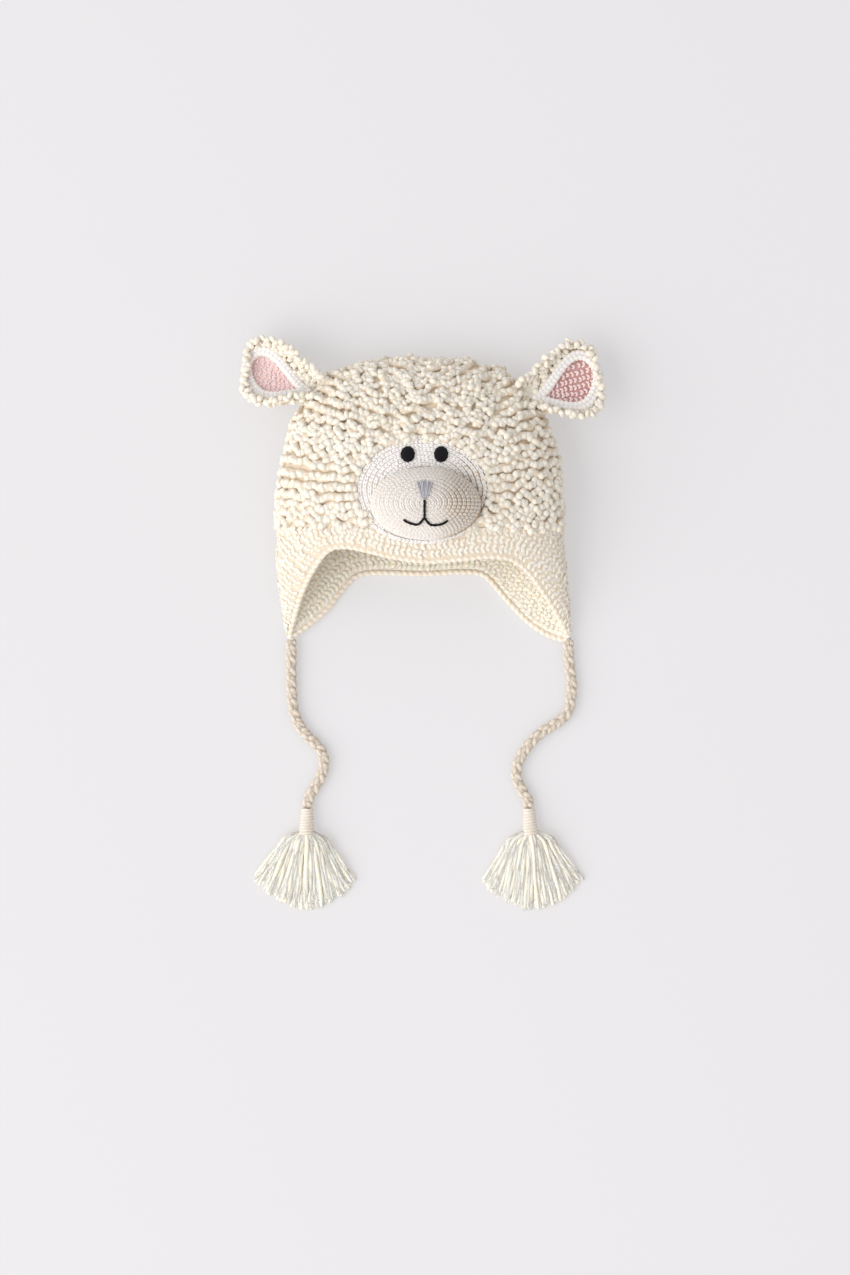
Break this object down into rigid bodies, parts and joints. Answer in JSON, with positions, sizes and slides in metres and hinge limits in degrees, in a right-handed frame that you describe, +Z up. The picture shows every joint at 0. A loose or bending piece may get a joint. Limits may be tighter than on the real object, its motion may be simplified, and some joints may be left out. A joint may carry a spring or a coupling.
{
  "type": "baby hat with animal ears",
  "caption": "Crocheted baby hat shaped as a lamb's head, lying on its back: curly crown, muzzle, ears, ear flaps and braided ties that end in tassels.",
  "frame": {"origin": "middle of the flattened back of the crown, where the hat lies on the surface", "axes": "+Z up out of the face, +Y towards the crown's top, +X towards the right-hand ear as seen from above"},
  "size_m": [0.2335, 0.3757, 0.0829],
  "materials": {
    "wool": "cream wool yarn, looped and crocheted",
    "cotton": "off-white cotton, fine single crochet",
    "pink_cotton": "dusty pink cotton, fine crochet",
    "black_thread": "black cotton thread",
    "grey_thread": "grey cotton in satin stitch",
    "tassel_yarn": "loose cream yarn"
  },
  "bodies": {
    "root": {"crown": "wool", "brim": "wool", "face_patch": "cotton", "muzzle": "cotton", "nose": "grey_thread", "mouth": "black_thread", "eye_left": "black_thread", "eye_right": "black_thread", "ear_left": "wool", "ear_rim_left": "cotton", "ear_lining_left": "pink_cotton", "ear_right": "wool", "ear_rim_right": "cotton", "ear_lining_right": "pink_cotton", "tie_left": "wool", "tie_wrap_left": "wool", "tassel_left": "tassel_yarn", "tie_right": "wool", "tie_wrap_right": "wool", "tassel_right": "tassel_yarn"}
  },
  "joints": []
}
